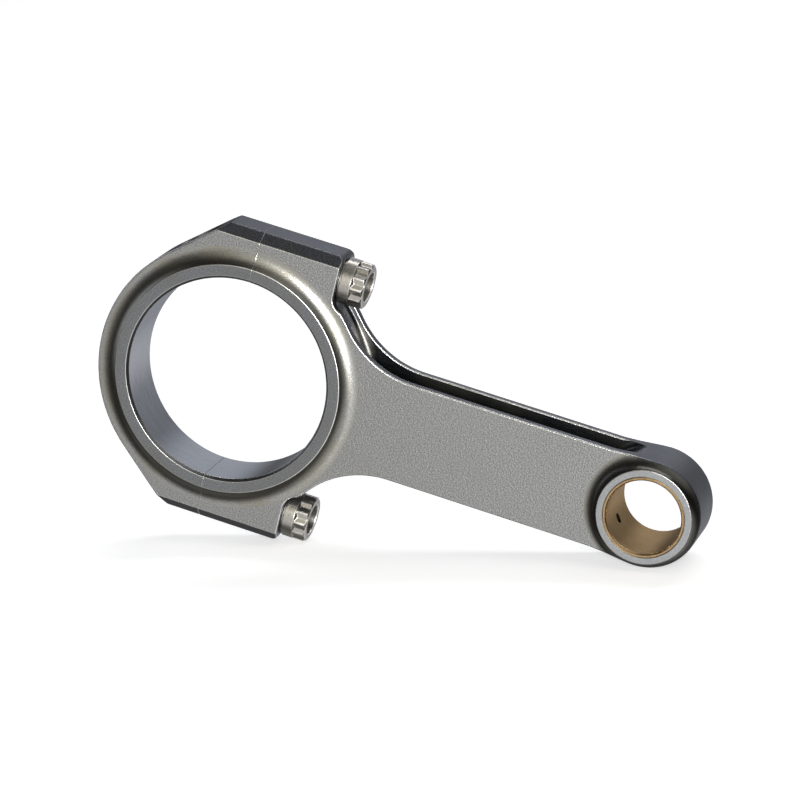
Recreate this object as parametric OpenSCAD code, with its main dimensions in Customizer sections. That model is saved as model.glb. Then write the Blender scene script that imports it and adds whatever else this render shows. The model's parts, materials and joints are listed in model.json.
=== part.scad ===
// Forged H-beam connecting rod with a bolted cap, two twelve-point cap screws,
// locating sleeves and a bronze pin bush.
//
// Frame: the origin is the centre of the big-end bore, on the rod's mid-plane.
// Y runs along both bores, +X points from the small end to the cap, +Z is up
// across the rod. The cap joint lies in the plane X = 0.

/* [Rod] */
// Distance between the two bore centres
centre_distance = 130; // [120:0.5:150]
// Thickness of the flat body between its two faces
body_t = 15.4; // [15:0.1:17]
// Height of the beam from flange edge to flange edge
beam_h = 30.2; // [28:0.1:32]
// Width of the channel milled between the flanges
channel_w = 10; // [9:0.1:11]
// Thickness of the web at the bottom of the channels
web_t = 4; // [3:0.1:6]

/* [Big end] */
// Diameter of the big-end bore
big_bore_d = 61; // [60:0.1:62]
// Width of the big end over its two thrust faces
big_width = 20; // [18:0.1:20.4]
// Outer diameter of the raised thrust ring
thrust_ring_d = 69.2; // [67:0.1:69.6]
// Diameter of the round part of the outline
big_outer_d = 81.6; // [81:0.1:83]
// Height over the two bolt shoulders
shoulder_h = 90.4; // [89:0.1:92]
// Length of the shoulder on the rod side of the joint
rod_shoulder = 25; // [24:0.1:26]
// Length of the flat of the shoulder on the cap side of the joint
cap_shoulder = 10.4; // [8:0.1:12]
// Bevel of the shoulder's long edges
shoulder_bevel = 2.9; // [2:0.1:4]
// Chamfer at each end of the big-end bore
bore_chamfer = 0.8; // [0.5:0.1:1]

/* [Small end] */
// Diameter of the piston pin's bore in the bush
pin_d = 22; // [21:0.1:22.4]
// Outer diameter of the bronze bush
bush_d = 24; // [23.6:0.1:24.4]
// Width of the small end over its two faces
small_width = 24; // [22:0.1:25]
// Outer diameter of the raised ring around the bush
small_ring_d = 28.2; // [27:0.1:29]
// Outer diameter of the small end
small_outer_d = 32.2; // [32:0.1:34]
// Diameter of each oil hole
oil_hole_d = 3; // [2:0.1:4]
// Angle of each oil hole from the rod's axis
oil_hole_angle = 38; // [35:1:41]

/* [Cap screws] */
// Distance of each screw's axis from the rod's axis
screw_z = 37.2; // [37:0.1:37.8]
// Thread diameter
thread_d = 9.5; // [9:0.1:9.6]
// Diameter of the head
head_d = 14; // [13:0.1:14.2]
// Height of the round collar of the head
collar_h = 4.1; // [3:0.1:5]
// Height of the twelve-point part of the head
points_h = 3.9; // [3:0.1:5]
// Length under the head
screw_length = 39; // [36:0.5:40]
// Length of the thread
thread_length = 17; // [14:0.5:18]

/* [Hidden] */
$fn = 96;

small_x = -centre_distance;
half_t = body_t / 2;
half_shoulder = shoulder_h / 2;
big_outer_r = big_outer_d / 2;
small_outer_r = small_outer_d / 2;

// Small amount by which one shape passes another, so that no two surfaces only touch
lap = 0.02;
// Amount by which a cutter passes clear of the body
clear = 1;

// Radius of the turned fillet round the big-end thrust ring
big_fillet_r = 7;
// Radius of the turned fillet round the small-end ring
small_fillet_r = 4.6;
// Radius of the sweep from the big end into the beam
flare_r = 28.5;
// Radius of the milled corner under each screw head, and where its centre lies
seat_corner_r = 4.5;
seat_corner_z = 33.6;
// Radius of the corner between a screw seat and the flat of its shoulder
shoulder_corner_r = 2;
// Where the beam starts to widen into the small end
small_blend_x = small_x + 14;
// Radii of the channel's two curved ends, each about the centre of its bore
channel_big_r = 38.8;
channel_small_r = 16.9;
// Radius of the corners between the web and the ends of the channel
channel_corner_r = 5;

// Screw holes and locating sleeves
sleeve_od = 11;
sleeve_id = 9.8;
sleeve_length = 8;
sleeve_gap = 0.03;
screw_hole_d = 9.8;
tapped_hole_d = 9.6;
shank_d = 8.9;
washer_face_d = 12.2;
washer_face_h = 0.5;
head_recess_d = 8.8;
head_recess_depth = 4.5;

steel = [0.46, 0.46, 0.45];
screw_steel = [0.62, 0.60, 0.56];
bronze = [0.76, 0.62, 0.40];

// ---- Helpers ----

// Extrudes an outline drawn in the X-Z plane, evenly to both sides of the mid-plane.
module across(width) {
    rotate([90, 0, 0]) linear_extrude(width, center = true) children();
}

// Turns a profile drawn as radius and distance from the mid-plane about a bore's axis.
module turned_about_bore() {
    rotate([-90, 0, 0]) rotate_extrude() children();
}

module bore(d, width) {
    rotate([90, 0, 0]) cylinder(h = width, d = d, center = true);
}

// Chamfer cutter for one end of a bore, at the face that lies at this distance
module bore_end_chamfer(d, size, face) {
    rotate([-90, 0, 0])
        translate([0, 0, face - size])
            cylinder(h = size + clear, d1 = d, d2 = d + 2 * (size + clear));
}

module bore_chamfers(d, size, face) {
    bore_end_chamfer(d, size, face);
    mirror([0, 1, 0]) bore_end_chamfer(d, size, face);
}

// Raised ring with a turned fillet that runs out on the body's face
module ring_with_fillet(ring_d, width, fillet_r) {
    rise = (width - body_t) / 2;
    reach = sqrt(pow(fillet_r, 2) - pow(fillet_r - rise, 2));
    fillet_centre = [ring_d / 2 + reach, half_t + fillet_r - lap];
    half_profile_w = ring_d / 2 + reach;
    turned_about_bore()
        difference() {
            translate([0, -width / 2]) square([half_profile_w, width]);
            translate(fillet_centre) circle(fillet_r);
            translate([fillet_centre[0], -fillet_centre[1]]) circle(fillet_r);
        }
}

// Prism along X that bevels one long edge of a shoulder
module shoulder_bevel_cutter() {
    reach = shoulder_bevel + clear;
    rotate([90, 0, 90])
        linear_extrude(4 * big_outer_r, center = true)
            polygon([
                [half_t - shoulder_bevel - clear, half_shoulder + clear],
                [half_t + clear, half_shoulder + clear],
                [half_t + clear, half_shoulder - reach]
            ]);
}

module all_shoulder_bevels() {
    for (top = [0, 1], back = [0, 1])
        mirror([0, 0, top]) mirror([0, back, 0]) shoulder_bevel_cutter();
}

module along_screw(side, from_x) {
    translate([from_x, 0, side * screw_z]) rotate([0, 90, 0]) children();
}

// ---- Outlines in the X-Z plane ----

// Sweep between the round of the big end and the top edge of the beam
module flare_outline() {
    centre_z = beam_h / 2 + flare_r - lap;
    centre_x = -sqrt(pow(big_outer_r + flare_r - lap, 2) - pow(centre_z, 2));
    share = big_outer_r / (big_outer_r + flare_r);
    meets_round = [centre_x * share, centre_z * share];
    difference() {
        polygon([
            [centre_x, 0],
            [centre_x, beam_h / 2],
            meets_round,
            [meets_round[0], 0]
        ]);
        translate([centre_x, centre_z]) circle(flare_r);
    }
}

// Shoulder with its rounded corner, and the web that fills the corner under the seat
module shoulder_outline() {
    corner = [-rod_shoulder, half_shoulder];
    difference() {
        translate([-rod_shoulder, 0]) square([rod_shoulder, half_shoulder]);
        difference() {
            translate([-rod_shoulder - lap, half_shoulder - shoulder_corner_r])
                square([shoulder_corner_r + lap, shoulder_corner_r + lap]);
            translate([corner[0] + shoulder_corner_r, corner[1] - shoulder_corner_r])
                circle(shoulder_corner_r + lap);
        }
    }
    corner_fill = 3.4;
    translate([-rod_shoulder - corner_fill, 0]) square([corner_fill + lap, seat_corner_z]);
}

module small_end_blend_outline() {
    start = [small_blend_x - small_x, beam_h / 2];
    start_distance = norm(start);
    tangent_angle = atan2(start[1], start[0]) + acos(small_outer_r / start_distance);
    inside = small_outer_r - lap / 2;
    translate([small_x, 0])
        polygon([
            [0, 0],
            [start[0], 0],
            start,
            [inside * cos(tangent_angle), inside * sin(tangent_angle)]
        ]);
}

module upper_rod_outline() {
    difference() {
        union() {
            shoulder_outline();
            flare_outline();
        }
        translate([-rod_shoulder - seat_corner_r - lap, seat_corner_z]) circle(seat_corner_r);
    }
    small_end_blend_outline();
}

module rod_outline() {
    difference() {
        union() {
            intersection() {
                circle(big_outer_r);
                translate([-2 * big_outer_r, -big_outer_r]) square(2 * big_outer_r);
            }
            translate([small_x, -beam_h / 2]) square([centre_distance - big_bore_d / 2, beam_h]);
            translate([small_x, 0]) circle(small_outer_r);
        }
        for (top = [0, 1])
            mirror([0, top])
                translate([-rod_shoulder - seat_corner_r - lap, seat_corner_z])
                    circle(seat_corner_r);
    }
    for (top = [0, 1]) mirror([0, top]) upper_rod_outline();
}

module cap_outline() {
    corner = [cap_shoulder, half_shoulder];
    tangent_angle = atan2(corner[1], corner[0]) - acos(big_outer_r / norm(corner));
    inside = big_outer_r - lap / 2;
    intersection() {
        circle(big_outer_r);
        translate([0, -big_outer_r]) square(2 * big_outer_r);
    }
    for (top = [0, 1])
        mirror([0, top])
            polygon([
                [0, 0],
                [0, half_shoulder],
                corner,
                [inside * cos(tangent_angle), inside * sin(tangent_angle)]
            ]);
}

// Area milled out between the flanges on the upper side of the web
module channel_outline() {
    floor_z = web_t / 2;
    big_corner_x = -sqrt(pow(channel_big_r + channel_corner_r, 2) - pow(floor_z + channel_corner_r, 2));
    small_corner_x = small_x
        + sqrt(pow(channel_small_r + channel_corner_r, 2) - pow(floor_z + channel_corner_r, 2));
    mouth_x = small_x + 4;
    difference() {
        translate([mouth_x, floor_z])
            square([-rod_shoulder - mouth_x, half_shoulder]);
        circle(channel_big_r);
        translate([small_x, 0]) circle(channel_small_r);
        channel_corner(big_corner_x, channel_big_r, 0);
        channel_corner(small_corner_x, channel_small_r, small_x);
    }
}

// Fills the corner between the web and one curved end of the channel
module channel_corner(centre_x, end_r, end_x) {
    centre_z = web_t / 2 + channel_corner_r;
    share = end_r / (end_r + channel_corner_r);
    difference() {
        polygon([
            [centre_x, 0],
            [centre_x, web_t / 2 + lap],
            [end_x + (centre_x - end_x) * share, centre_z * share],
            [end_x, 0]
        ]);
        translate([centre_x, centre_z]) circle(channel_corner_r + lap);
    }
}

// ---- Parts ----

module rod_body() {
    across(body_t) rod_outline();
    intersection() {
        ring_with_fillet(thrust_ring_d, big_width, big_fillet_r);
        across(big_width + clear) rod_outline();
    }
    intersection() {
        translate([small_x, 0, 0]) ring_with_fillet(small_ring_d, small_width, small_fillet_r);
        across(small_width + clear) rod_outline();
    }
}

module oil_holes(from_r, to_r) {
    for (side = [-1, 1])
        translate([small_x, 0, 0])
            rotate([0, 90 - side * oil_hole_angle, 0])
                translate([0, 0, from_r]) cylinder(h = to_r - from_r, d = oil_hole_d, $fn = 32);
}

module rod_beam() {
    color(steel)
        difference() {
            rod_body();
            bore(big_bore_d, big_width + clear);
            bore_chamfers(big_bore_d, bore_chamfer, big_width / 2);
            translate([small_x, 0, 0]) bore(bush_d, small_width + clear);
            all_shoulder_bevels();
            for (top = [0, 1]) mirror([0, 0, top]) across(channel_w) channel_outline();
            oil_holes(pin_d / 2, channel_small_r + 2);
            for (side = [-1, 1]) {
                along_screw(side, -rod_shoulder - clear)
                    cylinder(h = rod_shoulder + 2 * clear, d = screw_hole_d);
                along_screw(side, -sleeve_length / 2)
                    cylinder(h = sleeve_length, d = sleeve_od + 2 * sleeve_gap);
            }
        }
}

module rod_cap() {
    color(steel)
        difference() {
            union() {
                across(body_t) cap_outline();
                intersection() {
                    ring_with_fillet(thrust_ring_d, big_width, big_fillet_r);
                    across(big_width + clear) cap_outline();
                }
            }
            bore(big_bore_d, big_width + clear);
            bore_chamfers(big_bore_d, bore_chamfer, big_width / 2);
            all_shoulder_bevels();
            for (side = [-1, 1]) {
                along_screw(side, -clear) cylinder(h = big_outer_r, d = tapped_hole_d);
                along_screw(side, -sleeve_length / 2) cylinder(h = sleeve_length, d = sleeve_od);
            }
        }
}

// The bush is a plain bronze tube with chamfered ends and two oil holes.
module pin_bush() {
    end_chamfer = 0.4;
    color(bronze)
        difference() {
            translate([small_x, 0, 0]) bore(bush_d, small_width);
            translate([small_x, 0, 0]) bore(pin_d, small_width + clear);
            translate([small_x, 0, 0]) bore_chamfers(pin_d, end_chamfer, small_width / 2);
            oil_holes(pin_d / 2 - clear, bush_d / 2 + clear);
        }
}

// Round-off cone on the end of the head
module head_envelope(length) {
    edge = 0.6;
    cylinder(h = length - edge, d = head_d + 1);
    translate([0, 0, length - edge]) cylinder(h = edge, d1 = head_d, d2 = head_d - 2 * edge);
}

// A screw drawn along +Z: the seat of its head is at Z = 0, and the head is above it.
module screw() {
    recess_cone_h = 2;
    difference() {
        union() {
            cylinder(h = washer_face_h + lap, d = washer_face_d);
            translate([0, 0, washer_face_h]) cylinder(h = collar_h - washer_face_h, d = head_d);
            intersection() {
                translate([0, 0, collar_h - lap])
                    for (turn = [0, 30])
                        rotate([0, 0, turn]) cylinder(h = points_h + lap, d = head_d, $fn = 6);
                head_envelope(collar_h + points_h);
            }
        }
        translate([0, 0, collar_h + points_h - head_recess_depth])
            cylinder(h = head_recess_depth + clear, d = head_recess_d);
        translate([0, 0, collar_h + points_h - head_recess_depth - recess_cone_h])
            cylinder(h = recess_cone_h + lap, d1 = 0, d2 = head_recess_d);
    }
    translate([0, 0, -screw_length + thread_length])
        cylinder(h = screw_length - thread_length + lap, d = shank_d);
    threaded_end();
}

module threaded_end() {
    tip_chamfer = 1;
    translate([0, 0, -screw_length + tip_chamfer])
        cylinder(h = thread_length - tip_chamfer + lap, d = thread_d);
    translate([0, 0, -screw_length])
        cylinder(h = tip_chamfer, d1 = thread_d - 2 * tip_chamfer, d2 = thread_d);
}

module cap_screw(side) {
    color(screw_steel)
        translate([-rod_shoulder, 0, side * screw_z]) rotate([0, -90, 0]) screw();
}

module locating_sleeve(side) {
    color(steel)
        difference() {
            along_screw(side, -sleeve_length / 2) cylinder(h = sleeve_length, d = sleeve_od);
            along_screw(side, -sleeve_length / 2 - clear)
                cylinder(h = sleeve_length + 2 * clear, d = sleeve_id);
        }
}

rod_beam();
rod_cap();
pin_bush();
cap_screw(1);  // cap_screw_upper
cap_screw(-1);  // cap_screw_lower
locating_sleeve(1);  // locating_sleeve_upper
locating_sleeve(-1);  // locating_sleeve_lower
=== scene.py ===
"""Connecting rod: the detailed visible pieces, their materials, the lights and the camera.

Lengths are in millimetres until a mesh is written, and every outline is a function of the
rod's own dimensions. X runs from the small end to the cap, Y along the bores, Z across.
"""

import json
import math

import bmesh
import bpy
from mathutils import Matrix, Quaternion, Vector


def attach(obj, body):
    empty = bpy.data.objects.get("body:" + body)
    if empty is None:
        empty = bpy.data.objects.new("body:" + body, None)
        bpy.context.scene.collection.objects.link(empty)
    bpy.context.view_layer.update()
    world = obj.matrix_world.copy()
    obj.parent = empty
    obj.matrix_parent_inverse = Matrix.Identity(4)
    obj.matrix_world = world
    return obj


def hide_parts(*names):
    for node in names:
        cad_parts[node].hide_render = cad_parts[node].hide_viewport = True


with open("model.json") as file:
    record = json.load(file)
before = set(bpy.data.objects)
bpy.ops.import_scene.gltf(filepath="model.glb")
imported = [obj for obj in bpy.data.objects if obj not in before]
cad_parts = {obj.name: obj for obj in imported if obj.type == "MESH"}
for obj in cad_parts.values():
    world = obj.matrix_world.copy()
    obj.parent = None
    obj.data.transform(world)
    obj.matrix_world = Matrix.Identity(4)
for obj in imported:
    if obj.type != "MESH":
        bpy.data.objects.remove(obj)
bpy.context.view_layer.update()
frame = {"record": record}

MM = 0.001

# ---- Dimensions of the rod ----

# A name ends in the axis that a size or place is measured along from the origin, or in R for a
# radius. What the record's mounts give is taken from them.
mounts = {mount["name"]: mount for mount in frame["record"]["mounts"]}


def mount_place(name, axis):
    """One coordinate of a mount's place, in millimetres."""
    return round(mounts[name]["pos_m"][axis] / MM, 3)


SMALL_X = mount_place("pin_bore", 0)
FACE_Y = 7.7
BEAM_Z = 15.1
CHANNEL_Y = 5.0
WEB_Z = 2.0
BORE_R = mounts["big_end_bore"]["dims"]["r_mm"]
BORE_CHAMFER = 0.8
THRUST_Y = mount_place("thrust_face_back", 1)
THRUST_R = 34.6
BIG_FILLET_R = 7.0
OUTER_R = 40.8
SHOULDER_Z = 45.2
BEVEL_Z = 42.3
SEAT_X = -25.0
SHOULDER_CORNER_R = 2.0
CAP_FLAT_X = 10.4
NOTCH_R = 4.5
NOTCH_Z = 33.6
FLARE_R = 28.5
SMALL_R = 16.1
SMALL_Y = mount_place("small_end_face_back", 1)
SMALL_RING_R = 14.1
SMALL_FILLET_R = 4.6
BLEND_X = SMALL_X + 14.0
CHANNEL_BIG_R = 38.8
CHANNEL_SMALL_R = 16.9
CHANNEL_CORNER_R = 5.0
BUSH_OUTER_R = 12.0
BUSH_INNER_R = mounts["pin_bore"]["dims"]["r_mm"]
OIL_HOLE_R = 1.5
OIL_HOLE_ANGLE = 38.0
SCREW_Z = 37.2
SPLIT_CHAMFER = 0.12

# Radius of the rounded edges round the outline, and the number of steps across it
EDGE_R = 0.42
EDGE_STEPS = 5
# Radius of the channel's lips and of the fillets along its floor, with their steps
LIP_R = 0.35
LIP_STEPS = 5
FLOOR_FILLET_R = 2.4
FLOOR_FILLET_STEPS = 8
# Most that the fillet and the lip take of the channel's depth beside the big end, and that the
# lip takes elsewhere of what the fillet leaves
FILLET_SHARE = 0.45
LIP_SHARE = 0.22
SPARE_LIP_SHARE = 0.3
# Angles of that fillet still left, in degrees, where the channel runs out at the small end
RUNOUT_ANGLES = (90, 80, 70, 60, 50, 40, 30, 20, 10, 0)
# Steps of the surfaces turned about the big bore, over half a turn
BORE_STEPS = 124

# Edges bent less than this many degrees are shaded smooth, or less where two finishes meet
SMOOTH_BEND = 33
SMOOTH_BEND_BETWEEN_FINISHES = 8
# Wear starts on edges bent by this many degrees, and is full this many further on
WORN_BEND = 11.5
WORN_BEND_RANGE = 5.0
# Only faces narrower than this can be worn bright, and only from their long edges, which have
# at least this share of the length of the longest
WORN_WIDTH = 0.35
LONG_EDGE_SHARE = 0.6
# Edges within this distance of the cap joint are worn a little less
JOINT_REACH = 0.6
JOINT_WEAR = 0.8

# Finishes, in the order of the material slots of a forged piece
PEENED, TURNED, GROUND, BORED, MILLED, HOLE = range(6)


# ---- Plane geometry ----


def add(p, q, k=1.0):
    return (p[0] + q[0] * k, p[1] + q[1] * k)


def polar(centre, radius, degrees):
    angle = math.radians(degrees)
    return (centre[0] + radius * math.cos(angle), centre[1] + radius * math.sin(angle))


def arc(centre, radius, start, end, step=0.7):
    """Points on an arc, from one angle to the other, about step millimetres apart."""
    count = max(6, int(abs(math.radians(end - start)) * radius / step))
    return [polar(centre, radius, start + (end - start) * i / count) for i in range(count + 1)]


def line(p, q, count=1):
    run = (q[0] - p[0], q[1] - p[1])
    return [(p[0] + run[0] * i / count, p[1] + run[1] * i / count) for i in range(count + 1)]


def bezier(p, control, q, count):
    """Points on a smooth turn from p to q that is drawn towards the control point."""
    points = []
    for i in range(count + 1):
        t = i / count
        a, b, c = (1 - t) ** 2, 2 * t * (1 - t), t * t
        points.append((a * p[0] + b * control[0] + c * q[0], a * p[1] + b * control[1] + c * q[1]))
    return points


def joined(*runs):
    """One path from several, without the points that two neighbours share."""
    path = []
    for run in runs:
        for point in run:
            if not path or math.dist(path[-1], point) > 1e-5:
                path.append(point)
    return path


def angle_of(p, centre=(0.0, 0.0)):
    return math.degrees(math.atan2(p[1] - centre[1], p[0] - centre[0]))


def index_of(path, point):
    """Place in a path of its point nearest to this one."""
    return min(range(len(path)), key=lambda i: math.dist(path[i], point))


def normals(path, side, last=None):
    """Unit normals along a path, lengthened at corners so that an offset keeps its distance.

    last is the normal at the path's end, where it meets its own mirror image.
    """
    result = []
    for i, point in enumerate(path):
        before = path[max(i - 1, 0)]
        after = path[min(i + 1, len(path) - 1)]
        units = []
        for a, b in ((before, point), (point, after)):
            length = math.dist(a, b)
            if length > 1e-9:
                units.append(((b[1] - a[1]) / length * side, (a[0] - b[0]) / length * side))
        nx = sum(u[0] for u in units)
        nz = sum(u[1] for u in units)
        size = math.hypot(nx, nz)
        nx, nz = nx / size, nz / size
        stretch = max(0.5, nx * units[0][0] + nz * units[0][1])
        result.append((nx / stretch, nz / stretch))
    if last:
        result[-1] = last
    return result


def circle_meets_circle(c1, r1, c2, r2):
    """Both points where two circles cross."""
    d = math.dist(c1, c2)
    a = (d * d + r1 * r1 - r2 * r2) / (2 * d)
    h = math.sqrt(r1 * r1 - a * a)
    ux, uz = (c2[0] - c1[0]) / d, (c2[1] - c1[1]) / d
    mid = (c1[0] + a * ux, c1[1] + a * uz)
    return (mid[0] - h * uz, mid[1] + h * ux), (mid[0] + h * uz, mid[1] - h * ux)


# ---- Mesh helpers ----


class Shell:
    """Collects faces by their coordinates, and welds them into one mesh."""

    def __init__(self):
        self.points = []
        self.faces = []

    def polygon(self, loop, finish):
        start = len(self.points)
        self.points.extend(loop)
        self.faces.append((list(range(start, start + len(loop))), finish))

    def strips(self, rows, finish, closed=False):
        """Quads between neighbouring rows of points. A closed row ends where it starts."""
        finishes = finish if isinstance(finish, (list, tuple)) else [finish] * (len(rows) - 1)
        for k in range(len(rows) - 1):
            low, high = rows[k], rows[k + 1]
            last = len(low) if closed else len(low) - 1
            for i in range(last):
                j = (i + 1) % len(low)
                self.polygon([low[i], low[j], high[j], high[i]], finishes[k])

    def mirrored(self, axis):
        """Adds the mirror image of everything so far across the plane through the origin."""
        start = len(self.points)
        for p in list(self.points):
            q = list(p)
            q[axis] = -q[axis]
            self.points.append(tuple(q))
        for indices, finish in list(self.faces):
            self.faces.append(([i + start for i in indices], finish))

    def include(self, other):
        """Adds the faces of another shell."""
        for indices, finish in other.faces:
            self.polygon([other.points[i] for i in indices], finish)

    def mesh(self, name, closed=True):
        """The shell as a mesh in metres. A gap in one that has to be closed is an error."""
        bm = bmesh.new()
        verts = [bm.verts.new((x * MM, y * MM, z * MM)) for x, y, z in self.points]
        for indices, finish in self.faces:
            face = bm.faces.new([verts[i] for i in indices])
            face.material_index = finish
        bmesh.ops.remove_doubles(bm, verts=bm.verts[:], dist=2e-6)
        bmesh.ops.dissolve_degenerate(bm, dist=1e-6, edges=bm.edges[:])
        bmesh.ops.recalc_face_normals(bm, faces=bm.faces[:])
        if closed and any(len(edge.link_faces) != 2 for edge in bm.edges):
            raise ValueError("the shell of the " + name + " isn't closed")
        mesh = bpy.data.meshes.new(name)
        bm.to_mesh(mesh)
        bm.free()
        return mesh


def new_object(name, mesh):
    obj = bpy.data.objects.new(name, mesh)
    bpy.context.scene.collection.objects.link(obj)
    return obj


def cut(obj, cutters):
    """Cuts the cutters out of an object for good."""
    for cutter in cutters:
        modifier = obj.modifiers.new("cut", "BOOLEAN")
        modifier.operation = "DIFFERENCE"
        modifier.solver = "EXACT"
        modifier.object = cutter
        graph = bpy.context.evaluated_depsgraph_get()
        mesh = bpy.data.meshes.new_from_object(obj.evaluated_get(graph))
        obj.modifiers.clear()
        old = obj.data
        obj.data = mesh
        mesh.name = old.name
        bpy.data.meshes.remove(old)
        bpy.data.objects.remove(cutter)


def circle(place, radius, height, count):
    """A row of points round an axis. place maps (a, b, height) to the rod's frame."""
    return [place(*polar((0, 0), radius, 360 * i / count), height) for i in range(count)]


def turned_object(name, profile, place, finish, count):
    """An object turned from a closed profile of (radius, height) points."""
    shell = Shell()
    rows = [circle(place, radius, height, count) for radius, height in profile]
    shell.strips(rows, finish, closed=True)
    return new_object(name, shell.mesh(name))


def along_screw(side):
    """Places a point of a screw, with its height measured from the seat towards the head."""
    return lambda a, b, h: (SEAT_X - h, a, side * SCREW_Z + b)


def across_joint(side):
    """Places a point turned about a screw's axis, with its height along X from the joint."""
    return lambda a, b, h: (h, a, side * SCREW_Z + b)


def along_bore(centre_x):
    """Places a point of a surface turned about a bore's axis, with its height along Y."""
    return lambda a, b, h: (centre_x + a, h, b)


def finish_object(obj, materials, body, node):
    """Shading, wear and materials of a finished piece, and what it stands for."""
    mesh = obj.data
    bm = bmesh.new()
    bm.from_mesh(mesh)
    bmesh.ops.dissolve_degenerate(bm, dist=1e-6, edges=bm.edges[:])
    bends = {}
    for edge in bm.edges:
        bends[edge] = math.degrees(edge.calc_face_angle_signed(0.0))
        two_finishes = len({face.material_index for face in edge.link_faces}) > 1
        limit = SMOOTH_BEND_BETWEEN_FINISHES if two_finishes else SMOOTH_BEND
        edge.smooth = abs(bends[edge]) < limit
    wear = {}
    for vert in bm.verts:
        sharpest = max(bends[edge] for edge in vert.link_edges)
        t = min(max((sharpest - WORN_BEND) / WORN_BEND_RANGE, 0.0), 1.0)
        wear[vert] = t * t * (3 - 2 * t)
    # Wear goes on narrow faces that have a bend along one of their long edges
    layer = bm.loops.layers.float.new("wear")
    for face in bm.faces:
        face.smooth = True
        length = max(edge.calc_length() for edge in face.edges)
        long_edges = [edge for edge in face.edges if edge.calc_length() > LONG_EDGE_SHARE * length]
        bend = max(bends[edge] for edge in long_edges)
        worn = face.calc_area() < WORN_WIDTH * MM * length and bend > WORN_BEND
        share = JOINT_WEAR if abs(face.calc_center_median().x) < JOINT_REACH * MM else 1.0
        for loop in face.loops:
            loop[layer] = share * wear[loop.vert] if worn else 0.0
    bm.to_mesh(mesh)
    bm.free()
    for material in materials:
        mesh.materials.append(material)
    weighted = obj.modifiers.new("face normals", "WEIGHTED_NORMAL")
    weighted.mode = "FACE_AREA"
    weighted.keep_sharp = True
    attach(obj, body)
    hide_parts(node)


# ---- Surfaces of the forging ----

BIG_RISE = THRUST_Y - FACE_Y
BIG_FILLET_CENTRE = (
    THRUST_R + math.sqrt(BIG_FILLET_R**2 - (BIG_FILLET_R - BIG_RISE) ** 2),
    FACE_Y + BIG_FILLET_R,
)
SMALL_RISE = SMALL_Y - FACE_Y
SMALL_FILLET_CENTRE = (
    SMALL_RING_R + math.sqrt(SMALL_FILLET_R**2 - (SMALL_FILLET_R - SMALL_RISE) ** 2),
    FACE_Y + SMALL_FILLET_R,
)
# Half the width of the eased crease between face and bevel, and the heights of its three lines
CREASE_HALF = 0.15
CREASE_ZS = (BEVEL_Z + CREASE_HALF, BEVEL_Z, BEVEL_Z - CREASE_HALF)


def face_height(x, z):
    """Distance of the forging's face from the mid-plane."""
    over = abs(z) - BEVEL_Z
    if over > CREASE_HALF:
        return FACE_Y - over
    if over > -CREASE_HALF:
        return FACE_Y - (over + CREASE_HALF) ** 2 / (4 * CREASE_HALF)
    from_pin = math.hypot(x - SMALL_X, z)
    if from_pin < SMALL_FILLET_CENTRE[0]:
        reach = SMALL_FILLET_CENTRE[0] - from_pin
        return SMALL_FILLET_CENTRE[1] - math.sqrt(max(SMALL_FILLET_R**2 - reach**2, 0.0))
    return FACE_Y


def fillet_points(centre, radius, r_from, r_to, count):
    """Points (radius, height) down a turned fillet, evenly spaced by angle."""
    start = math.asin((centre[0] - r_from) / radius)
    end = math.asin(max(centre[0] - r_to, 0.0) / radius)
    points = []
    for i in range(count + 1):
        angle = start + (end - start) * i / count
        points.append((centre[0] - radius * math.sin(angle), centre[1] - radius * math.cos(angle)))
    return points


def ring_profile(bore_r, chamfer, top, ring_r, centre, fillet_r, soft, steps):
    """Points (radius, height) from a bore's edge over its raised ring to where the fillet starts.

    soft is how far the ring's outer edge is eased, and the chamfer's edges are eased less.
    """
    angle = math.asin((centre[0] - ring_r) / fillet_r) - soft / fillet_r
    fillet_start = (centre[0] - fillet_r * math.sin(angle), centre[1] - fillet_r * math.cos(angle))
    rim = bezier((ring_r - soft, top), (ring_r, top), fillet_start, steps)
    ease = 0.14 * chamfer
    mouth = [
        (bore_r, top - chamfer - ease),
        (bore_r + 0.7 * ease, top - chamfer + 0.7 * ease),
        (bore_r + chamfer - 0.7 * ease, top - 0.7 * ease),
        (bore_r + chamfer + ease, top),
    ]
    return mouth + rim


RING_EASE = 0.22
BIG_RING = ring_profile(
    BORE_R, BORE_CHAMFER, THRUST_Y, THRUST_R, BIG_FILLET_CENTRE, BIG_FILLET_R, RING_EASE, 3
)
BIG_PROFILE = BIG_RING + fillet_points(
    BIG_FILLET_CENTRE, BIG_FILLET_R, BIG_RING[-1][0], BIG_FILLET_CENTRE[0], 18
)[1:]
BIG_FINISHES = [GROUND] * 4 + [TURNED] * (len(BIG_PROFILE) - 5)

SMALL_CHAMFER = 0.2
SMALL_RING = ring_profile(
    BUSH_OUTER_R, SMALL_CHAMFER, SMALL_Y, SMALL_RING_R, SMALL_FILLET_CENTRE, SMALL_FILLET_R,
    RING_EASE, 5,
)
SMALL_FILLET_STEPS = 16


def edge_rows(path, outward):
    """Rows of points over the rounded edge between the face and the side of an outline."""
    rows = []
    for j in range(EDGE_STEPS + 1):
        angle = math.pi / 2 * j / EDGE_STEPS
        inset = EDGE_R * (1 - math.sin(angle))
        drop = EDGE_R * (1 - math.cos(angle))
        row = []
        for (x, z), n in zip(path, outward):
            qx, qz = x - n[0] * inset, z - n[1] * inset
            row.append((qx, face_height(qx, qz) - drop, qz))
        rows.append(row)
    return rows


def flip_y(points):
    """The same points on the other face."""
    return [(x, -y, z) for x, y, z in points]


def turned_point(centre, radius, degrees, height):
    x, z = polar(centre, radius, degrees)
    return (x, height, z)


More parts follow.
